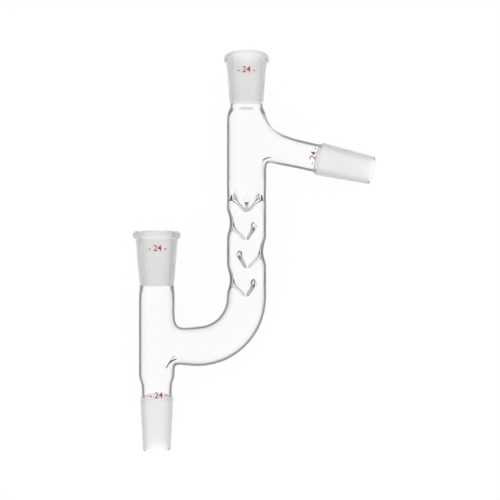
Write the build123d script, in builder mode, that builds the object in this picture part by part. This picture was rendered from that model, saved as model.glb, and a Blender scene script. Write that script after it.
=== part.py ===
from build123d import *
import math
import os

# A glass distillation head, blown and fused in one piece. A straight leg has a ground socket on top
# and a ground cone at its foot. From its side a bend sweeps out and up into a second column, whose
# wall is pricked into four tiers of cooling fingers. The column ends in another ground socket, and
# below that an arm slopes down to a last ground cone.
#
# The head is drawn as it lies on a bench: every tube's axis is in one level plane, +X runs from the
# leg to the arm, +Y runs up the leg and the column, and +Z is up off the bench. Millimetres.

# ---------------------------------------------------------------- driving dimensions

# Standard taper joints, all of one size: 24 wide, 40 long, closing by one part in ten.
joint_width = 24.0
joint_length = 40.0
joint_taper = 0.1

glass_wall = 1.5
rim_lip = 1.2  # rounding of a fire-polished end

# Leg, measured from the foot of its cone.
leg_width = 26.0
leg_height = 158.0
leg_neck_width = 21.6
leg_neck_length = 6.0
leg_shoulder = 6.5
leg_bead_width = 34.6
leg_bead_height = 5.6

# Column, parallel to the leg.
column_spacing = 65.0
column_width = 28.8
column_height = 285.5
column_bead_width = 32.8
column_bead_height = 5.2

# Sockets: the outside follows the ground bore, thicker at the mouth.
socket_mouth_wall = 3.0
socket_foot_wall = 2.5
socket_waist_length = 3.0  # the pinched length where the socket is joined to its tube
column_waist_width = 23.0
column_shoulder = 7.5

# Bend between the leg and the foot of the column.
bend_height = 74.5
bend_radius = 35.5
bend_width = 28.2
bend_weld_inset = 0.7  # how much smaller the bend's weld is than the leg, all round
leg_weld_fillet = 3.0

# Side arm.
arm_height = 222.0  # where its axis crosses the column's
arm_drop = 12.5  # degrees below square to the column
arm_width = 20.4
arm_reach = 53.0  # from the column's axis to the big end of the cone
arm_root_inset = 0.9  # how much smaller the arm's root is than the column, all round
arm_root_reach = 13.0
arm_flare_reach = 30.0
arm_weld_fillet = 4.0

# Fingers pricked into the column, each out of the foot of a shallow dent in its wall.
fingers_in_tier = 3
finger_turns = (180, 0, 180, 90)  # the way each tier's first finger faces, from the lowest tier up
finger_lowest_tip = 111.5
finger_pitch = 20.4
finger_slope = 45.0  # degrees below square to the column
finger_tip_reach = 2.0  # from the column's axis to the middle of the finger's tip
finger_tip_radius = 0.5
finger_tip_wall = 0.7
finger_root_radius = 2.8
dent_radius = 12.0
dent_depth = 3.4
dent_rise = 11.5  # from the finger's tip up to the middle of its dent

# ---------------------------------------------------------------- sizes that follow

joint_big = joint_width / 2
joint_small = joint_big - joint_length * joint_taper / 2
cone_step = (joint_width - leg_neck_width) / 2
past_end = 2.0  # how far a bore runs out past the end that it opens

leg_axis = Axis((0, 0, 0), (0, 1, 0))
column_plane = Plane((column_spacing, 0, 0), x_dir=(1, 0, 0), z_dir=(0, 0, 1))
column_axis = Axis(column_plane.origin, column_plane.y_dir)

# The arm's own plane: its y runs out along the arm and its x points up off it.
arm_angle = math.radians(arm_drop)
arm_origin = Vector(column_spacing, arm_height, 0)
arm_run = Vector(math.cos(arm_angle), -math.sin(arm_angle), 0)
arm_plane = Plane(arm_origin, x_dir=arm_run.rotate(Axis.Z, 90), z_dir=(0, 0, -1))
arm_axis = Axis(arm_plane.origin, arm_plane.y_dir)
arm_end = arm_reach + joint_length


def half_outline(points, radii):
    """A closed half section: an outline with rounded corners, shut along the axis of revolution."""
    with BuildLine() as outline:
        outside = FilletPolyline(*points, radius=radii)
        Line(outside @ 1, outside @ 0)
    return outline.line


# ---------------------------------------------------------------- the leg

socket_foot = leg_height - joint_length
leg_shoulder_foot = joint_length + cone_step + leg_neck_length

with BuildPart() as leg_outside:
    with BuildSketch(Plane.XY):
        add(half_outline(
            [
                (0, 0),
                (joint_small, 0),
                (joint_big, joint_length),
                (leg_neck_width / 2, joint_length + cone_step),
                (leg_neck_width / 2, leg_shoulder_foot),
                (leg_width / 2, leg_shoulder_foot + leg_shoulder),
                (leg_width / 2, socket_foot - 2 * socket_waist_length),
                (joint_small + socket_foot_wall, socket_foot),
                (joint_big + socket_mouth_wall, leg_height - leg_bead_height - cone_step),
                (leg_bead_width / 2, leg_height - leg_bead_height),
                (leg_bead_width / 2, leg_height),
                (0, leg_height),
            ],
            [rim_lip, 0.5, 0.5, 4.0, 5.0, 5.0, 6.0, 2.0, 1.6, 2.4],
        ))
        make_face()
    revolve(axis=leg_axis)

with BuildPart() as leg_bore:
    with BuildSketch(Plane.XY):
        add(half_outline(
            [
                (0, -past_end),
                (joint_small - glass_wall + past_end / 2, -past_end),
                (joint_small - glass_wall, rim_lip),
                (leg_neck_width / 2 - glass_wall, joint_length),
                (leg_neck_width / 2 - glass_wall, leg_shoulder_foot + glass_wall / 2),
                (leg_width / 2 - glass_wall, leg_shoulder_foot + leg_shoulder + glass_wall / 2),
                (leg_width / 2 - glass_wall, socket_foot - 2 * socket_waist_length),
                (joint_small, socket_foot),
                (joint_big, leg_height - rim_lip),
                (joint_big + past_end, leg_height + past_end),
                (0, leg_height + past_end),
            ],
            [0, 1.0, 3.0, 4.0, 5.0, 4.0, 3.0, 2.0, 0],
        ))
        make_face()
    revolve(axis=leg_axis)

# ---------------------------------------------------------------- the column

column_foot = bend_height + bend_radius
column_socket_foot = column_height - joint_length
column_waist = column_socket_foot + socket_waist_length
column_shoulder_foot = column_waist - column_shoulder

with BuildPart() as column_outside:
    with BuildSketch(column_plane):
        add(half_outline(
            [
                (0, column_foot),
                (column_width / 2, column_foot),
                (column_width / 2, column_shoulder_foot),
                (column_waist_width / 2, column_waist),
                (joint_small + socket_foot_wall, column_waist + socket_waist_length),
                (joint_big + socket_mouth_wall, column_height - column_bead_height - cone_step),
                (column_bead_width / 2, column_height - column_bead_height),
                (column_bead_width / 2, column_height),
                (0, column_height),
            ],
            [0, 6.0, 1.0, 1.5, 2.0, 1.5, 2.2],
        ))
        make_face()
    revolve(axis=column_axis)

with BuildPart() as column_bore:
    with BuildSketch(column_plane):
        add(half_outline(
            [
                (0, column_foot),
                (column_width / 2 - glass_wall, column_foot),
                (column_width / 2 - glass_wall, column_shoulder_foot - glass_wall),
                (joint_small, column_socket_foot),
                (joint_big, column_height - rim_lip),
                (joint_big + past_end, column_height + past_end),
                (0, column_height + past_end),
            ],
            [0, 4.0, 2.0, 2.0, 0],
        ))
        make_face()
    revolve(axis=column_axis)

# ---------------------------------------------------------------- the bend

# The tube runs square out of the leg, widening from its weld, and turns up into the column.
bend_start = column_spacing - bend_radius
bend_weld_radius = leg_width / 2 - bend_weld_inset
bend_turn = (bend_start, bend_height + bend_radius)


def bend_tube(weld_radius, tube_radius):
    """The bend as a solid: a cone from the leg's axis to the turn, then a quarter turn of tube."""
    with BuildPart() as tube:
        with BuildSketch(Plane((0, bend_height, 0), x_dir=(0, 0, 1), z_dir=(1, 0, 0))):
            Circle(weld_radius)
        with BuildSketch(Plane((bend_start, bend_height, 0), x_dir=(0, 0, 1), z_dir=(1, 0, 0))):
            Circle(tube_radius)
        loft()
        with BuildSketch(Plane((bend_start, bend_height, 0), x_dir=(0, 0, 1), z_dir=(1, 0, 0))):
            Circle(tube_radius)
        revolve(axis=Axis((bend_turn[0], bend_turn[1], 0), (0, 0, 1)), revolution_arc=90)
    return tube.part


# ---------------------------------------------------------------- the side arm

arm_neck_radius = arm_width / 2
arm_root_radius = column_width / 2 - arm_root_inset

with BuildPart() as arm_outside:
    with BuildSketch(arm_plane):
        add(half_outline(
            [
                (0, 0),
                (arm_root_radius, 0),
                (arm_root_radius, arm_root_reach),
                (arm_neck_radius, arm_flare_reach),
                (arm_neck_radius, arm_reach - cone_step),
                (joint_big, arm_reach),
                (joint_small, arm_end),
                (0, arm_end),
            ],
            [0, 8.0, 20.0, 0.5, 0.5, rim_lip],
        ))
        make_face()
    revolve(axis=arm_axis)

with BuildPart() as arm_bore:
    with BuildSketch(arm_plane):
        add(half_outline(
            [
                (0, 0),
                (arm_root_radius - glass_wall, 0),
                (arm_root_radius - glass_wall, arm_root_reach),
                (arm_neck_radius - glass_wall, arm_flare_reach),
                (arm_neck_radius - glass_wall, arm_reach),
                (joint_small - glass_wall, arm_end - rim_lip),
                (joint_small - glass_wall + past_end / 2, arm_end + past_end),
                (0, arm_end + past_end),
            ],
            [0, 8.0, 20.0, 3.0, 1.0, 0],
        ))
        make_face()
    revolve(axis=arm_axis)

# ---------------------------------------------------------------- the fingers


def facing(tier, place):
    """The level direction, square to the column, in which a finger's mouth faces."""
    turn = finger_turns[tier] + 360 / fingers_in_tier * place
    return Vector(1, 0, 0).rotate(Axis.Y, turn)


def finger_plane(tier, place):
    """A finger's own plane: origin at its tip, y running back out along the finger."""
    slope = math.radians(finger_slope)
    back = facing(tier, place) * math.cos(slope) + Vector(0, math.sin(slope), 0)
    across = Vector(0, 1, 0).cross(back).normalized()
    tip = Vector(column_spacing, finger_lowest_tip + tier * finger_pitch, 0)
    tip = tip + facing(tier, place) * finger_tip_reach
    return Plane(tip, x_dir=across, z_dir=across.cross(back))


def finger(tier, place, wall):
    """A hollow pricked from outside: a slim round-tipped cone that opens into a dent in the wall."""
    plane = finger_plane(tier, place)
    tip = finger_tip_radius + wall
    reach = column_width / 2 / math.cos(math.radians(finger_slope)) - finger_tip_reach
    dent_middle = plane.origin + Vector(0, dent_rise, 0)
    dent_out = column_width / 2 - dent_depth + dent_radius - finger_tip_reach
    with BuildPart() as spike:
        with BuildSketch(plane):
            add(half_outline(
                [(0, -tip), (tip, -tip), (finger_root_radius + wall, reach), (0, reach)],
                [tip * 0.9, 0],
            ))
            make_face()
        revolve(axis=Axis(plane.origin, plane.y_dir))
        with Locations(dent_middle + facing(tier, place) * dent_out):
            Sphere(dent_radius + wall)
    return spike.part


finger_places = [
    (tier, place)
    for tier in range(len(finger_turns))
    for place in range(fingers_in_tier)
]

# The glass of the fingers, kept within the column's own outline.
with BuildPart() as finger_glass:
    for tier, place in finger_places:
        add(finger(tier, place, finger_tip_wall))
    add(column_outside.part, mode=Mode.INTERSECT)

# ---------------------------------------------------------------- one piece of glass


def welds(part, low_x, high_x):
    """The edges where one tube runs into another, between two distances along X."""
    straight_or_round = (GeomType.CIRCLE, GeomType.LINE, GeomType.BEZIER)
    return [
        edge for edge in part.edges()
        if edge.geom_type not in straight_or_round and low_x < edge.center().X < high_x
    ]


with BuildPart() as outside:
    add(leg_outside.part)
    add(column_outside.part)
    add(bend_tube(bend_weld_radius, bend_width / 2))
    add(arm_outside.part)
    fillet(welds(outside, 0, leg_width), radius=leg_weld_fillet)
    fillet(welds(outside, column_spacing, column_spacing + arm_reach), radius=arm_weld_fillet)

with BuildPart() as bore:
    add(leg_bore.part)
    add(column_bore.part)
    add(bend_tube(bend_weld_radius - glass_wall, bend_width / 2 - glass_wall))
    add(arm_bore.part)
    fillet(welds(bore, 0, leg_width), radius=leg_weld_fillet + glass_wall)
    fillet(welds(bore, column_spacing, column_spacing + arm_reach), radius=arm_weld_fillet + glass_wall)

with BuildPart() as glass:
    add(outside.part)
    add(bore.part, mode=Mode.SUBTRACT)
    add(finger_glass.part)
    for tier, place in finger_places:
        add(finger(tier, place, 0), mode=Mode.SUBTRACT)

# Its reference point is on the bench, under the middle of its box.
box = glass.part.bounding_box()
middle = box.center()
to_bench = Location((-middle.X, -middle.Y, -box.min.Z))

with BuildPart() as distillation_head:
    add(glass.part.moved(to_bench))

os.makedirs("parts", exist_ok=True)
distillation_head.part.label = "distillation_head"
export_step(distillation_head.part, "parts/distillation_head.step")
print("box", box.size, "moved by", to_bench.position)
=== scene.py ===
# %% [markdown]
# # A glass distillation head
# The head is one piece of borosilicate glass: a straight leg, a bend fused to its side, a column with
# fingers pricked into its wall, and an arm that slopes down to a ground cone. The CAD frame gives every
# size and place. Here the same glass is drawn again as two smooth skins, an outer and an inner one,
# joined at the four open ends, because refraction shows every facet of a coarse mesh.

# %% Load the frame
import bpy
import bmesh
import math
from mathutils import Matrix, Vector


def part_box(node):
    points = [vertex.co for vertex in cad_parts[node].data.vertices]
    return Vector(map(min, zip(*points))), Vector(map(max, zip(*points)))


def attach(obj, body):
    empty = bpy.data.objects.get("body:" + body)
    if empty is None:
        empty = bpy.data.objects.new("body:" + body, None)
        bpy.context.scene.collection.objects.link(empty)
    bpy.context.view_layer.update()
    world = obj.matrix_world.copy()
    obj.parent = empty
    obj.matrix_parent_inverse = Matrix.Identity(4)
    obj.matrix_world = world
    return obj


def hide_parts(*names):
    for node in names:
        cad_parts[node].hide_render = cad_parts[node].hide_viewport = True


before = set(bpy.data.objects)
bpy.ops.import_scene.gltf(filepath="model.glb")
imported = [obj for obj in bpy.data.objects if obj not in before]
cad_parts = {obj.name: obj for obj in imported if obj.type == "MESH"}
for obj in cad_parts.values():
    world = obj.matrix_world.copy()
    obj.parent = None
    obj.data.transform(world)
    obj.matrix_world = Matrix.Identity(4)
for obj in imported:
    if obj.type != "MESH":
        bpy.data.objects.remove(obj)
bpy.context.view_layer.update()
MM = 0.001
HEAD = "distillation_head"
low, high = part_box(HEAD)
print("head box in mm:", [round(v / MM, 1) for v in low], [round(v / MM, 1) for v in high])

# %% [markdown]
# All sizes below are the glassblower's: widths of stock tube, heights above the foot of the leg's cone,
# and the standard taper joint, 24 wide and 40 long, closing by one part in ten. The frame's box turns
# them into places: the leg's bead touches the box on the left and underneath, and its cone's foot
# touches the near end.

# %% Sizes of the head, in millimetres
WALL = 1.5
JOINT_LENGTH = 40.0
LEG_RADIUS = 13.0
LEG_NECK = 10.8
LEG_BEAD = 17.3
LEG_TOP = 158.0
COLUMN_X = 65.0
COLUMN_RADIUS = 14.4
COLUMN_BEAD = 16.4
COLUMN_TOP = 285.5
BEND_HEIGHT = 74.5
BEND_TURN = 35.5
ARM_HEIGHT = 222.0
ARM_DROP = math.radians(12.5)
ARM_RADIUS = 10.2
ARM_SHOULDER = 53.0
BEAD_TOP = 1.4
LEG_CONE_TOP = 38.6
SEGMENTS = 48

leg_x = low.x / MM + LEG_BEAD
foot_y = low.y / MM
level = low.z / MM + LEG_BEAD


def place(x, y, z=0.0):
    """A point given from the foot of the leg's cone, in the plane of the tubes, as a place in metres."""
    return Vector((leg_x + x, foot_y + y, level + z)) * MM


print("leg foot at", place(0, 0), "column top at", place(COLUMN_X, COLUMN_TOP))

# %% [markdown]
# Every tube is drawn the way a lathe hand thinks of it: one ring is laid down, and then pushed along
# the axis step by step, opened or closed at each step. A ring of 48 points gives 96 after smoothing,
# and lands on the quarter, third and sixth turns, where the arm, the bend and the fingers go.

# %% A tube drawn ring by ring
def begin():
    """Leaves object mode ready for a new primitive, with nothing selected."""
    if bpy.context.mode != "OBJECT":
        bpy.ops.object.mode_set(mode="OBJECT")
    bpy.ops.object.select_all(action="DESELECT")


def draw_on(direction, here, rings):
    """Pushes the selected ring along, through each (distance, radius) in turn, in edit mode."""
    distance, radius = here
    start = bpy.context.object["ring_origin"]
    for next_distance, next_radius in rings:
        step = direction * (next_distance - distance) * MM
        bpy.ops.mesh.extrude_region_move(TRANSFORM_OT_translate={"value": step})
        centre = Vector(start) + direction * next_distance * MM
        grow = next_radius / radius
        bpy.ops.transform.resize(value=(grow, grow, grow), center_override=centre)
        distance, radius = next_distance, next_radius


def tube(name, origin, direction, turn, rings):
    """A tube about an axis from (distance, radius) rings, left in edit mode with its last ring selected."""
    begin()
    distance, radius = rings[0]
    bpy.ops.mesh.primitive_circle_add(
        vertices=SEGMENTS, radius=radius * MM, fill_type="NOTHING",
        location=origin + direction * distance * MM, rotation=turn)
    ob = bpy.context.object
    ob.name = name
    bpy.ops.object.transform_apply(location=True, rotation=True, scale=True)
    ob["ring_origin"] = origin
    bpy.ops.object.mode_set(mode="EDIT")
    bpy.ops.mesh.select_mode(type="VERT")
    bpy.ops.mesh.select_all(action="SELECT")
    draw_on(direction, rings[0], rings[1:])
    return ob


# %% [markdown]
# The outer skin and the inner skin have the same rings, so one function draws both. A ring is written
# as its height and its two radii, outside and bore. Where two rings lie close together the smoothed
# glass turns sharply, as at the step above a ground cone, and where they lie far apart it flows.

# %% The rings of the leg
LEG_RINGS = [
    # height, outside, bore
    (0.15, 9.35, 8.75),
    (0.0, 9.75, 8.45),
    (0.5, 10.0, 8.3),
    (1.6, 10.09, 8.35),
    (10.0, 10.5, 8.8),
    (20.0, 11.0, 9.1),
    (28.0, 11.45, 9.25),
    (35.0, 11.9, 9.3),
    (36.0, 12.0, 9.3),
    (36.8, 11.85, 9.3),
    (37.8, 11.3, 9.3),
    (39.4, 10.87, 9.3),
    (42.0, LEG_NECK, 9.3),
    (46.6, 10.95, 9.45),
    (49.0, 11.75, 10.2),
    (51.4, 12.6, 11.05),
    (54.0, 12.97, 11.45),
    (55.6, LEG_RADIUS, LEG_RADIUS - WALL),
]
WELD_ROW = 4.3
WELD_ROWS = 8
weld_foot = BEND_HEIGHT - WELD_ROW * WELD_ROWS / 2
LEG_RINGS += [
    (weld_foot + WELD_ROW * n, LEG_RADIUS, LEG_RADIUS - WALL)
    for n in range(WELD_ROWS + 1)
]
LEG_RINGS += [
    (95.5, LEG_RADIUS, LEG_RADIUS - WALL),
    (99.5, LEG_RADIUS, LEG_RADIUS - WALL),
    (105.0, LEG_RADIUS, LEG_RADIUS - WALL),
    (112.0, 12.95, 11.3),
    (115.0, 12.7, 10.8),
    (117.0, 12.5, 10.2),
    (118.4, 12.45, 10.0),
    (120.0, 12.55, 10.1),
    (124.0, 12.95, 10.3),
    (134.0, 13.75, 10.8),
    (144.0, 14.55, 11.3),
    (149.0, 14.95, 11.55),
    (152.0, 15.15, 11.67),
    (152.6, 15.7, 11.73),
    (153.1, 17.0, 11.76),
    (154.4, 17.3, 11.82),
    (155.6, LEG_BEAD, 11.88),
    (156.8, 16.95, 11.94),
    (157.6, 16.1, 12.05),
    (LEG_TOP, 14.9, 12.45),
    (LEG_TOP + 0.02, 14.0, 13.1),
]
print("leg rings:", len(LEG_RINGS), "of which in the weld:", WELD_ROWS + 1)

# %% [markdown]
# The column is drawn from its socket down to where the bend begins, because the bend is the same tube
# carried on. Its rows are close where the arm is fused on and where the fingers are pricked, so that
# each of them has rings of its own to grow from.

# %% The rings of the column
FINGER_ROW = 2.55
TIERS = 4
TIER_PITCH = 8 * FINGER_ROW
LOWEST_TIP = 111.5
ROOT_RISE = 9.0
FINGER_ROWS = 36
ROWS_ABOVE_ROOT = 32
ARM_ROW = 3.6
ARM_ROWS = 10
ARM_ROW_TOP = 241.0
TOP_ROW_EASE = 0.25

COLUMN_RINGS = [
    (COLUMN_TOP - 0.02, 13.5, 12.9),
    (COLUMN_TOP - 0.04, 14.3, 12.4),
    (COLUMN_TOP - 0.5, 15.4, 12.05),
    (COLUMN_TOP - 1.3, 16.1, 11.93),
    (COLUMN_TOP - 2.4, COLUMN_BEAD, 11.88),
    (COLUMN_TOP - 3.6, COLUMN_BEAD, 11.82),
    (COLUMN_TOP - 4.9, 16.15, 11.76),
    (COLUMN_TOP - 5.4, 15.1, 11.73),
    (COLUMN_TOP - 6.0, 14.65, 11.67),
    (COLUMN_TOP - 10.0, 14.2, 11.5),
    (COLUMN_TOP - 18.0, 13.45, 11.1),
    (COLUMN_TOP - 27.0, 12.85, 10.65),
    (COLUMN_TOP - 33.0, 12.5, 10.35),
    (COLUMN_TOP - 35.0, 12.2, 10.25),
    (COLUMN_TOP - 36.4, 11.6, 10.18),
    (COLUMN_TOP - 37.6, 11.75, 10.15),
    (COLUMN_TOP - 39.4, 12.6, 10.5),
    (COLUMN_TOP - 41.6, 13.5, 11.6),
]
COLUMN_RINGS += [
    (ARM_ROW_TOP - ARM_ROW * n, COLUMN_RADIUS - (TOP_ROW_EASE if n == 0 else 0.0), COLUMN_RADIUS - WALL)
    for n in range(ARM_ROWS + 1)
]
finger_top_row = LOWEST_TIP + ROOT_RISE + FINGER_ROW * ROWS_ABOVE_ROOT
finger_rows = [finger_top_row - FINGER_ROW * n for n in range(FINGER_ROWS)]
bend_top = BEND_HEIGHT + BEND_TURN
COLUMN_RINGS += [(y, COLUMN_RADIUS, COLUMN_RADIUS - WALL) for y in finger_rows if y > bend_top + 1]
COLUMN_RINGS += [(bend_top, COLUMN_RADIUS, COLUMN_RADIUS - WALL)]
print("column rings:", len(COLUMN_RINGS), "lowest finger row", round(finger_rows[-1], 2))

# %% [markdown]
# The arm is drawn from just outside the column to its tip, along a line that falls away from square.

# %% The rings of the arm
ARM_END = ARM_SHOULDER + JOINT_LENGTH - 0.08
ARM_RINGS = [
    (27.5, 10.75, 9.25),
    (31.0, 10.35, 8.85),
    (38.0, ARM_RADIUS, ARM_RADIUS - WALL),
    (46.0, 10.1, 8.6),
    (50.6, 10.1, 8.6),
    (52.2, 10.25, 8.65),
    (53.2, 11.3, 8.75),
    (53.9, 11.87, 8.8),
    (54.6, 12.0, 8.85),
    (55.8, 11.87, 8.9),
    (64.0, 11.45, 8.9),
    (74.0, 10.95, 8.8),
    (84.0, 10.45, 8.6),
    (ARM_END - 1.8, 10.09, 8.35),
    (ARM_END - 0.6, 10.0, 8.3),
    (ARM_END, 9.75, 8.45),
    (ARM_END - 0.15, 9.35, 8.75),
]
arm_way = Vector((math.cos(ARM_DROP), -math.sin(ARM_DROP), 0))
print("arm rings:", len(ARM_RINGS), "arm points along", [round(v, 3) for v in arm_way])

# %% [markdown]
# A hole is opened in a tube's wall by deleting a block of faces, and the ring of the next tube is
# bridged to it. The block is chosen so that its edge has as many points as a ring: 14 faces across by
# 10 rows for the arm, and 16 across by 8 rows for the bend. Bridging with a curved surface makes the
# smooth web of glass that a flame leaves there.

# %% Opening a wall and bridging to it
WEB_CUTS = 4


def pick(ob, test, mode="FACE"):
    """Selects, in edit mode, the faces or edges whose middle passes a test."""
    bpy.ops.mesh.select_mode(type=mode)
    bpy.ops.mesh.select_all(action="DESELECT")
    bm = bmesh.from_edit_mesh(ob.data)
    items = bm.faces if mode == "FACE" else bm.edges
    count = 0
    for item in items:
        middle = sum((v.co for v in item.verts), Vector()) / len(item.verts)
        if test(middle, item):
            item.select_set(True)
            count += 1
    bmesh.update_edit_mesh(ob.data)
    return count


def near(co, across, along):
    """Whether a point lies between two distances across and two along, from the foot of the leg's cone."""
    rel = (co - place(0, 0)) / MM
    return across[0] < rel.x < across[1] and along[0] < rel.y < along[1]


def open_wall(ob, axis_x, foot, top, half_turn):
    """Deletes the block of wall that faces +X, between two heights and within half_turn of it."""
    middle = place(axis_x, 0)

    def inside(co, item):
        turn = abs(math.atan2(co.z - middle.z, co.x - middle.x))
        return turn < half_turn and place(0, foot).y < co.y < place(0, top).y

    count = pick(ob, inside)
    bpy.ops.mesh.delete(type="FACE")
    return count


def bridge(ob, test):
    """Bridges the two open loops whose edges pass a test, with a curved surface."""
    pick(ob, lambda co, edge: edge.is_boundary and test(co), "EDGE")
    bpy.ops.mesh.bridge_edge_loops(
        type="SINGLE", number_cuts=WEB_CUTS, interpolation="SURFACE", smoothness=1.0)


# %% [markdown]
# The fingers are what makes this head a short fractionating column. On the real one, each is pricked
# in with a hot point: the wall sinks in a shallow dent, and from the foot of the dent a slim hollow
# spike runs down to the middle of the tube. The dent is made with proportional editing, and the spike
# by extruding four faces in steps.

# %% The dent above a finger
FINGER_TURNS = [180, 0, 180, 90]
FINGERS = 3
DENT_DEPTH = 3.0
DENT_SPAN = 10.5
DENT_RISE = 11.6


def finger_ways(tier, number):
    """The way out to a finger, the way along the wall beside it, and the height of its tip."""
    turn = math.radians(FINGER_TURNS[tier] + 360 / FINGERS * number)
    out = Vector((math.cos(turn), 0, -math.sin(turn)))
    side = Vector((math.sin(turn), 0, math.cos(turn)))
    return out, side, LOWEST_TIP + TIER_PITCH * tier


def sink_dent(ob, out, tip_y, wall):
    """Pushes the wall in above a finger, softly, by its one nearest point."""
    bpy.ops.mesh.select_mode(type="VERT")
    bpy.ops.mesh.select_all(action="DESELECT")
    bm = bmesh.from_edit_mesh(ob.data)
    dent_at = place(COLUMN_X, tip_y + DENT_RISE) + out * wall * MM
    nearest = min(bm.verts, key=lambda v: (v.co - dent_at).length)
    nearest.select_set(True)
    bm.select_flush_mode()
    bmesh.update_edit_mesh(ob.data)
    bpy.ops.transform.translate(
        value=-out * DENT_DEPTH * MM, use_proportional_edit=True, use_proportional_connected=True,
        proportional_edit_falloff="SMOOTH", proportional_size=DENT_SPAN * MM)


print("fingers to prick:", TIERS * FINGERS)

# %% [markdown]
# The spike starts as a patch of four faces at the foot of the dent. Its nine points are found by how near
# they lie to the finger's middle line and to the height of its root.

# %% The mouth of a spike
MOUTH_SINK = 0.4
PATCH_POINTS = 9
HALF_PATCH = math.radians(7.6)
ROW_SLACK = 0.1


def mouth_patch(ob, out, side, tip_y, wall):
    """Selects the four faces that a spike grows from, and returns the middle of their points."""
    bm = bmesh.from_edit_mesh(ob.data)
    foot = place(COLUMN_X, 0)
    root_at = place(COLUMN_X, tip_y + ROOT_RISE) + out * wall * MM
    grid = [v for v in bm.verts if (v.co - foot).dot(out) > 0
            and abs((v.co - foot).dot(side)) < wall * math.sin(HALF_PATCH) * MM
            and abs(v.co.y - root_at.y) < (FINGER_ROW + ROW_SLACK) * MM]
    if len(grid) != PATCH_POINTS:
        print("patch of", len(grid), "points at height", tip_y)
    bpy.ops.mesh.select_mode(type="FACE")
    bpy.ops.mesh.select_all(action="DESELECT")
    for face in bm.faces:
        if all(v in grid for v in face.verts):
            face.select_set(True)
    bmesh.update_edit_mesh(ob.data)
    root = Vector()
    for v in grid:
        root += v.co / len(grid)
    return root


# %% [markdown]
# The patch is extruded in place, and the eight points round the new patch are set on a circle at the
# next step along the way to the tip, while its middle point is kept on the axis. The first circles stay
# upright with the wall and the later ones lie square to the spike. A wide mouth, a narrow waist and a
# slight swelling below it are what is left where the hot point was drawn back.

# %% The spike of a finger
TIP_REACH = 1.5
SPIKE_STEPS = [
    # share of the way to the tip, radius of the hollow
    (0.0, 2.4),
    (0.07, 1.35),
    (0.17, 1.65),
    (0.30, 0.95),
    (0.54, 0.8),
    (0.78, 0.65),
    (0.93, 0.5),
    (1.0, 0.3),
]
SPIKE_WALL = 0.5
PATCH_ROUNDING = 0.9
EIGHTH = math.pi / 4
UPRIGHT_AT_MOUTH = 0.55
TURN_OVER_RATE = 3
CENTRE_CUT = 0.12
TINY = 0.01
END_ROUNDING = 0.35


def prick(ob, tier, number, skin):
    """Sinks one dent and draws one spike; skin is 0 for the outer skin and 1 for the inner one."""
    out, side, tip_y = finger_ways(tier, number)
    wall = COLUMN_RADIUS - WALL * skin
    sink_dent(ob, out, tip_y, wall)
    root = mouth_patch(ob, out, side, tip_y, wall) - out * MOUTH_SINK * MM
    tip = place(COLUMN_X, tip_y) + out * TIP_REACH * MM
    way = (tip - root).normalized()
    up = side.cross(way).normalized()
    if up.y < 0:
        up = -up
    across = way.cross(up)
    handed = 1 if across.dot(side) > 0 else -1
    grown = SPIKE_WALL * skin
    for share, hollow in SPIKE_STEPS:
        radius = hollow + grown
        bpy.ops.mesh.extrude_region_move(TRANSFORM_OT_translate={"value": (0, 0, 0)})
        bm = bmesh.from_edit_mesh(ob.data)
        ring = [v for v in bm.verts if v.select]
        middle = sum((v.co for v in ring), Vector()) / len(ring)
        centre = root.lerp(tip + way * grown * MM, share)
        upright = max(0.0, UPRIGHT_AT_MOUTH - share * TURN_OVER_RATE)
        rise = up.lerp(Vector((0, 1, 0)), upright).normalized()
        rim = radius / PATCH_ROUNDING * MM
        for v in ring:
            off = v.co - middle
            flat = Vector((off.dot(across), off.dot(up)))
            if share == 0.0:
                flat = Vector((off.dot(side) * handed, off.y))
            if flat.length < CENTRE_CUT * radius * MM or flat.length < TINY * MM:
                v.co = centre + way * radius * END_ROUNDING * MM * share
                continue
            angle = round(math.atan2(flat.y, flat.x) / EIGHTH) * EIGHTH
            v.co = centre + across * math.cos(angle) * rim + rise * math.sin(angle) * rim
        bmesh.update_edit_mesh(ob.data)


# %% [markdown]
# Now one skin is drawn. The leg, the column with its bend, and the arm are three tubes joined into one
# mesh, and the two welds are bridged. The bend is spun from the column's last ring, then closed a
# little towards its weld, where the flame has drawn it in.

# %% The three tubes of a skin
UP = Vector((0, 1, 0))
LEVEL_TURN = (math.radians(-90), 0, 0)
BEND_RINGS = [(3.0, 14.2), (6.5, 13.9), (9.5, 13.7)]
BEND_STEPS = 12
WELD_HALF_TURN = math.radians(60)
ARM_HALF_TURN = math.radians(52.5)
arm_low = ARM_ROW_TOP - ARM_ROW * ARM_ROWS


def one_skin(rings, skin):
    """The (distance, radius) pairs of one skin."""
    return [(ring[0], ring[1 + skin]) for ring in rings]


def draw_leg(skin):
    leg = tube(f"leg_skin_{skin}", place(0, 0), UP, LEVEL_TURN, one_skin(LEG_RINGS, skin))
    count = open_wall(leg, 0, weld_foot, weld_foot + WELD_ROW * WELD_ROWS, WELD_HALF_TURN)
    print("leg wall opened:", count)
    begin()
    return leg


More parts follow.
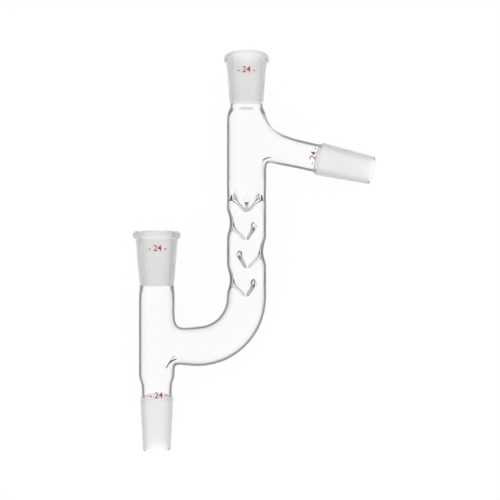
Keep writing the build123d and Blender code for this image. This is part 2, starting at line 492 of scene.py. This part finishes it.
def draw_column(skin):
    """The column, the bend spun from its last ring, and its twelve fingers."""
    rings = one_skin(COLUMN_RINGS, skin)
    column = tube(f"column_skin_{skin}", place(COLUMN_X, 0), UP, LEVEL_TURN, rings)
    turn_at = place(COLUMN_X - BEND_TURN, bend_top)
    bpy.ops.mesh.spin(steps=BEND_STEPS, angle=math.radians(90), center=turn_at, axis=(0, 0, 1))
    bm = bmesh.from_edit_mesh(column.data)
    ends = [v.co for v in bm.verts if v.select]
    middle = sum(ends, Vector()) / len(ends)
    print("bend ends at", [round(v / MM, 1) for v in middle])
    column["ring_origin"] = place(COLUMN_X - BEND_TURN, BEND_HEIGHT)
    inset = WALL * skin
    narrowing = [(d, r - inset) for d, r in BEND_RINGS]
    draw_on(Vector((-1, 0, 0)), (0.0, COLUMN_RADIUS - inset), narrowing)
    count = open_wall(column, COLUMN_X, arm_low, ARM_ROW_TOP, ARM_HALF_TURN)
    print("column wall opened:", count)
    for tier in range(TIERS):
        for number in range(FINGERS):
            prick(column, tier, number, skin)
    begin()
    return column


def draw_arm(skin):
    turn = (0, math.radians(90), -ARM_DROP)
    arm = tube(f"arm_skin_{skin}", place(COLUMN_X, ARM_HEIGHT), arm_way, turn, one_skin(ARM_RINGS, skin))
    begin()
    return arm


# %% [markdown]
# The welds are then bridged, and softened as a flame softens them: the glass flows more above a branch,
# where the blower pulls it out, than below it, where a crease is left. Last, the skin is turned the
# right way: the outer one faces out, and the inner one faces the air in the bore. This has to be done
# while the two are still apart, since recalculating a closed shell would turn its inner wall round.

# %% One skin of the glass
MOUTHS = [
    # across, along: where the two open loops of a weld lie
    ((COLUMN_X + 2, COLUMN_X + 35), (arm_low - 1, ARM_ROW_TOP + 1)),
    ((1, 25), (55, 95)),
]
SOFTENED = [
    # across, along, rounds of smoothing
    ((COLUMN_X + 7, COLUMN_X + 33), (arm_low - 4, ARM_HEIGHT - 8), 5),
    ((COLUMN_X + 7, COLUMN_X + 33), (ARM_HEIGHT - 8, ARM_ROW_TOP + 1), 8),
    ((7, 22), (55, 76), 2),
    ((7, 28), (76, 101), 18),
]


def draw_skin(skin):
    """Draws the outer skin (0) or the inner skin (1) as one mesh."""
    tubes = [draw_leg(skin), draw_column(skin), draw_arm(skin)]
    for ob in tubes:
        ob.select_set(True)
    whole = tubes[0]
    bpy.context.view_layer.objects.active = whole
    bpy.ops.object.join()
    bpy.ops.object.mode_set(mode="EDIT")
    for across, along in MOUTHS:
        bridge(whole, lambda co: near(co, across, along))
    for across, along, rounds in SOFTENED:
        pick(whole, lambda co, face: near(co, across, along))
        bpy.ops.mesh.vertices_smooth(factor=0.5, repeat=rounds)
    bpy.ops.mesh.select_all(action="SELECT")
    bpy.ops.mesh.normals_make_consistent(inside=False)
    volume = bmesh.from_edit_mesh(whole.data).calc_volume(signed=True)
    if (volume > 0) == (skin == 1):
        bpy.ops.mesh.flip_normals()
    begin()
    return whole


outer = draw_skin(0)
inner = draw_skin(1)
print("faces of the skins:", len(outer.data.polygons), len(inner.data.polygons))

# %% [markdown]
# The skins are joined at the four open ends: two socket rims and two cone tips. Then the mesh is one
# closed body, and one level of subdivision rounds it.

# %% One closed body of glass
begin()
outer.select_set(True)
inner.select_set(True)
bpy.context.view_layer.objects.active = outer
bpy.ops.object.join()
glass = bpy.context.object
glass.name = "glass_head"
bpy.ops.object.mode_set(mode="EDIT")
ends = {
    "leg foot": place(0, 0),
    "leg rim": place(0, LEG_TOP),
    "column rim": place(COLUMN_X, COLUMN_TOP),
    "arm tip": place(COLUMN_X, ARM_HEIGHT) + arm_way * ARM_END * MM,
}
END_REACH = 20.0
WELD_GAP = 0.01
for end, centre in ends.items():
    count = pick(glass, lambda co, edge: edge.is_boundary and (co - centre).length < END_REACH * MM, "EDGE")
    print(end, "rim edges joined:", count)
    bpy.ops.mesh.bridge_edge_loops(type="SINGLE")
bpy.ops.mesh.select_all(action="SELECT")
bpy.ops.mesh.remove_doubles(threshold=WELD_GAP * MM)
bm = bmesh.from_edit_mesh(glass.data)
print("open edges left:", sum(1 for e in bm.edges if e.is_boundary or not e.is_contiguous))
print("glass volume in cubic mm:", round(bm.calc_volume(signed=True) / MM ** 3))
bpy.ops.object.mode_set(mode="OBJECT")
smooth = glass.modifiers.new("rounding", "SUBSURF")
smooth.levels = 1
smooth.render_levels = 1
bpy.ops.object.modifier_apply(modifier="rounding")
bpy.ops.object.shade_smooth()
if "ring_origin" in glass:
    del glass["ring_origin"]
print("glass triangles:", sum(len(p.vertices) - 2 for p in glass.data.polygons))
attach(glass, "root")
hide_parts(HEAD)

# %% [markdown]
# ## Finishes
# No surface of a real head is quite even: drawn glass is wavy, a ground joint has the tooth of the grit
# that cut it, and fired ink is a little matt. One node group gives all three their grain, each at its
# own scale, from noise read on the object's own coordinates.

# %% A shared grain
def new_group(name, inputs, outputs):
    """A node group with float inputs and outputs."""
    group = bpy.data.node_groups.new(name, "ShaderNodeTree")
    for label, value in inputs:
        socket = group.interface.new_socket(name=label, in_out="INPUT", socket_type="NodeSocketFloat")
        socket.default_value = value
    for label in outputs:
        group.interface.new_socket(name=label, in_out="OUTPUT", socket_type="NodeSocketFloat")
    return group, group.nodes.new("NodeGroupInput"), group.nodes.new("NodeGroupOutput")


grain, grain_in, grain_out = new_group("surface_grain", [("Scale", 900.0), ("Rough", 0.5), ("Spread", 0.1)],
                                       ["Height", "Roughness"])
where = grain.nodes.new("ShaderNodeTexCoord")
noise = grain.nodes.new("ShaderNodeTexNoise")
noise.inputs["Detail"].default_value = 3.0
grain.links.new(where.outputs["Object"], noise.inputs["Vector"])
grain.links.new(grain_in.outputs["Scale"], noise.inputs["Scale"])
spread = grain.nodes.new("ShaderNodeMath")
spread.operation = "MULTIPLY_ADD"
grain.links.new(noise.outputs["Fac"], spread.inputs[0])
grain.links.new(grain_in.outputs["Spread"], spread.inputs[1])
grain.links.new(grain_in.outputs["Rough"], spread.inputs[2])
grain.links.new(noise.outputs["Fac"], grain_out.inputs["Height"])
grain.links.new(spread.outputs[0], grain_out.inputs["Roughness"])
print("grain takes", [socket.name for socket in grain_in.outputs if socket.name])


def grained(mat, scale, bump_by, rough=0.0, spread_by=0.0):
    """Adds the shared grain to a material, as a bump and, when spread_by is not zero, in its roughness."""
    tree = mat.node_tree
    shader = tree.nodes["Principled BSDF"]
    use = tree.nodes.new("ShaderNodeGroup")
    use.node_tree = grain
    use.inputs["Scale"].default_value = scale
    use.inputs["Rough"].default_value = rough
    use.inputs["Spread"].default_value = spread_by
    bump = tree.nodes.new("ShaderNodeBump")
    bump.inputs["Strength"].default_value = 1.0
    bump.inputs["Distance"].default_value = bump_by * MM
    tree.links.new(use.outputs["Height"], bump.inputs["Height"])
    tree.links.new(bump.outputs["Normal"], shader.inputs["Normal"])
    if spread_by:
        tree.links.new(use.outputs["Roughness"], shader.inputs["Roughness"])


# %% [markdown]
# Clear glass is a smooth dielectric with the index of borosilicate, 1.474. It is drawn by hand, so its
# surface is very slightly wavy. The ground joints are the same glass scattering light in every
# direction, so part of what comes back is white.

# %% Clear glass, ground glass and red ink
GLASS_INDEX = 1.474


def surface(name, colour, roughness, transmission):
    """A plain Principled material with the index of borosilicate glass."""
    mat = bpy.data.materials.new(name)
    mat.use_nodes = True
    shader = mat.node_tree.nodes["Principled BSDF"]
    shader.inputs["Base Color"].default_value = (*colour, 1)
    shader.inputs["Transmission Weight"].default_value = transmission
    shader.inputs["Roughness"].default_value = roughness
    shader.inputs["IOR"].default_value = GLASS_INDEX
    return mat


clear = surface("clear_glass", (1.0, 1.0, 1.0), roughness=0.0, transmission=1.0)
grained(clear, scale=60.0, bump_by=0.01)
ground = surface("ground_glass", (1.0, 0.995, 0.985), roughness=0.5, transmission=0.6)
grained(ground, scale=1500.0, bump_by=0.02, rough=0.4, spread_by=0.2)
ink = surface("red_ink", (0.34, 0.025, 0.06), roughness=0.55, transmission=0.0)
grained(ink, scale=2500.0, bump_by=0.01, rough=0.45, spread_by=0.2)
glass.data.materials.append(clear)
glass.data.materials.append(ground)
print("finishes:", [mat.name for mat in (clear, ground, ink)])

# %% [markdown]
# Each face of the glass is given its finish by where it lies: the outsides of the two cones and the
# bores of the two sockets are ground, everything else is left clear.

# %% Which faces are ground
def axial(co, origin, way):
    """How far along an axis a point is, and how far from it, in millimetres."""
    rel = (co - origin) / MM
    along = rel.dot(way)
    return along, (rel - way * along).length


GROUND_ZONES = {
    # axis from, axis way, along between, off the axis between
    "leg cone": (place(0, 0), UP, (1.2, LEG_CONE_TOP), (9.9, 13.0)),
    "leg socket": (place(0, 0), UP, (118.4, LEG_TOP - BEAD_TOP), (0.0, 12.25)),
    "column socket": (place(COLUMN_X, 0), UP, (COLUMN_TOP - 35.6, COLUMN_TOP - BEAD_TOP), (0.0, 12.2)),
    "arm cone": (place(COLUMN_X, ARM_HEIGHT), arm_way, (ARM_SHOULDER, ARM_END - 1.2), (9.8, 13.0)),
}
for zone, (origin, way, span, off) in GROUND_ZONES.items():
    count = 0
    for face in glass.data.polygons:
        along, reach = axial(face.center, origin, way)
        if span[0] < along < span[1] and off[0] < reach < off[1]:
            face.material_index = 1
            count += 1
    print(zone, "ground faces:", count)
print("ground faces:", sum(1 for f in glass.data.polygons if f.material_index == 1))

# %% [markdown]
# A plain number, the joint's width, is printed on the glass beside each joint in fired red ink, between
# two dashes. Each mark is a flat text turned to a mesh, and then wrapped round its tube a hair above
# the glass.

# %% A number wrapped round a tube
MARK_WORDS = "- 24 -"
MARK_SIZE = 6.0
MARK_GAP = 0.05
MARK_BOLDNESS = 0.06
MARK_CURVE_STEPS = 3


def radius_at(rings, height):
    """The outside radius of a tube at a height, between its rings."""
    steps = sorted(ring[:2] for ring in rings)
    for (h0, r0), (h1, r1) in zip(steps, steps[1:]):
        if h0 <= height <= h1 and h1 > h0:
            return r0 + (r1 - r0) * (height - h0) / (h1 - h0)
    return steps[-1][1]


def mark(name, origin, axis, side, spot, sense, rings):
    """Prints the number round a tube, at a spot (round, along), its top pointing along axis * sense."""
    begin()
    bpy.ops.object.text_add()
    text = bpy.context.object
    text.data.body = MARK_WORDS
    text.data.align_x = "CENTER"
    text.data.align_y = "CENTER"
    text.data.size = MARK_SIZE
    text.data.offset = MARK_BOLDNESS
    text.data.resolution_u = MARK_CURVE_STEPS
    bpy.ops.object.convert(target="MESH")
    ob = bpy.context.object
    ob.name = name
    for v in ob.data.vertices:
        along = spot[1] + v.co.y * sense
        radius = radius_at(rings, along) + MARK_GAP
        turn = (spot[0] + v.co.x) / radius
        ray = side * math.sin(turn) + Vector((0, 0, 1)) * math.cos(turn)
        v.co = origin + (axis * along + ray * radius) * MM
    ob.data.materials.append(ink)
    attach(ob, "root")


# %% [markdown]
# The marks on the two sockets and on the leg's cone read across their upright tubes. The one on the arm
# reads along the round of the arm, with the top of its figures towards the column.

# %% The four marks
EAST = Vector((1, 0, 0))
ACROSS_ARM = Vector((math.sin(ARM_DROP), math.cos(ARM_DROP), 0))
LEG_SOCKET_SPOT = (2.4, 145.4)
LEG_CONE_SPOT = (2.7, 40.9)
COLUMN_SOCKET_SPOT = (0.0, 271.6)
ARM_CONE_SPOT = (0.0, 48.7)
mark("mark_leg_socket", place(0, 0), UP, EAST, LEG_SOCKET_SPOT, 1, LEG_RINGS)
mark("mark_leg_cone", place(0, 0), UP, EAST, LEG_CONE_SPOT, 1, LEG_RINGS)
mark("mark_column_socket", place(COLUMN_X, 0), UP, EAST, COLUMN_SOCKET_SPOT, 1, COLUMN_RINGS)
mark("mark_arm_cone", place(COLUMN_X, ARM_HEIGHT), arm_way, ACROSS_ARM, ARM_CONE_SPOT, -1, ARM_RINGS)

# %% [markdown]
# ## Stage
# The head lies on a pale floor in soft white light from all round. Glass in front of a white field shows
# its walls as dark lines, since light that has turned round inside a wall comes from the dark sides of
# the room. So the light is made weaker for a ray that has both entered the glass and been reflected.

# %% Light that depends on its path
DARK_SIDE = 0.96
SEEN_THROUGH = 0.09
NONE_OR_SOME = 0.5


def path_light(tree):
    """Brightness by path: full straight on, a little more through glass, low after a turn inside it."""
    nodes, links = tree.nodes, tree.links
    path = nodes.new("ShaderNodeLightPath")

    def compare(output, operation):
        node = nodes.new("ShaderNodeMath")
        node.operation = operation
        node.inputs[1].default_value = NONE_OR_SOME
        links.new(path.outputs[output], node.inputs[0])
        return node.outputs[0]

    def combine(first, second):
        node = nodes.new("ShaderNodeMath")
        node.operation = "MULTIPLY"
        links.new(first, node.inputs[0])
        links.new(second, node.inputs[1])
        return node.outputs[0]

    def scaled(value, by, base):
        node = nodes.new("ShaderNodeMath")
        node.operation = "MULTIPLY_ADD"
        node.inputs[1].default_value = by
        links.new(value, node.inputs[0])
        if isinstance(base, float):
            node.inputs[2].default_value = base
        else:
            links.new(base, node.inputs[2])
        return node.outputs[0]

    through = compare("Transmission Depth", "GREATER_THAN")
    turned = combine(compare("Glossy Depth", "GREATER_THAN"), compare("Diffuse Depth", "LESS_THAN"))
    return scaled(combine(turned, through), -DARK_SIDE, scaled(through, SEEN_THROUGH, 1.0))


# %% [markdown]
# The room is a plain white world. A ray crosses several walls of this head, and turns inside some of
# them, so it is let bounce many times before it is given up as black.

# %% White room
scene = bpy.context.scene
scene.view_settings.view_transform = "Standard"
scene.cycles.max_bounces = 32
scene.cycles.transmission_bounces = 32
scene.cycles.glossy_bounces = 16
world = bpy.data.worlds.new("studio")
scene.world = world
world.use_nodes = True
background = world.node_tree.nodes["Background"]
background.inputs["Color"].default_value = (1, 1, 1, 1)
world.node_tree.links.new(path_light(world.node_tree), background.inputs["Strength"])
print("world nodes:", len(world.node_tree.nodes))

# %% [markdown]
# The floor is a lit table: it glows almost white by itself, by the same path rule as the room, and has a
# dark paint under the glow, so that only a trace of shadow is seen.

# %% Pale floor
FLOOR_WIDTH = 6.0
FLOOR_GREY = 0.08
FLOOR_GLOW = 0.93
begin()
bpy.ops.mesh.primitive_plane_add(size=FLOOR_WIDTH, location=(0, 0, low.z))
floor = bpy.context.object
floor.name = "floor"
bpy.ops.object.transform_apply(location=True, rotation=True, scale=True)
floor_mat = bpy.data.materials.new("pale_floor")
floor_mat.use_nodes = True
floor_shader = floor_mat.node_tree.nodes["Principled BSDF"]
floor_shader.inputs["Base Color"].default_value = (FLOOR_GREY, FLOOR_GREY, FLOOR_GREY, 1)
floor_shader.inputs["Roughness"].default_value = 1.0
floor_shader.inputs["Specular IOR Level"].default_value = 0.0
floor_shader.inputs["Emission Color"].default_value = (1, 1, 1, 1)
floor_level = path_light(floor_mat.node_tree)
dim = floor_mat.node_tree.nodes.new("ShaderNodeMath")
dim.operation = "MULTIPLY"
dim.inputs[1].default_value = FLOOR_GLOW
floor_mat.node_tree.links.new(floor_level, dim.inputs[0])
floor_mat.node_tree.links.new(dim.outputs[0], floor_shader.inputs["Emission Strength"])
floor.data.materials.append(floor_mat)
print("floor lies at", round(low.z / MM, 2), "mm")

# %% [markdown]
# The camera looks straight down on the head from about half a metre above it, with a lens that takes in
# the whole head and a wide margin.

# %% Camera
EYE_OVER = (67.5, 144.3)
EYE_HEIGHT = 513.0
VIEW = math.radians(38.9)
camera_data = bpy.data.cameras.new("camera")
camera_data.angle = VIEW
camera = bpy.data.objects.new("camera", camera_data)
scene.collection.objects.link(camera)
camera.location = place(*EYE_OVER, EYE_HEIGHT)
scene.camera = camera
print("camera in mm:", [round(v / MM, 1) for v in camera.location])
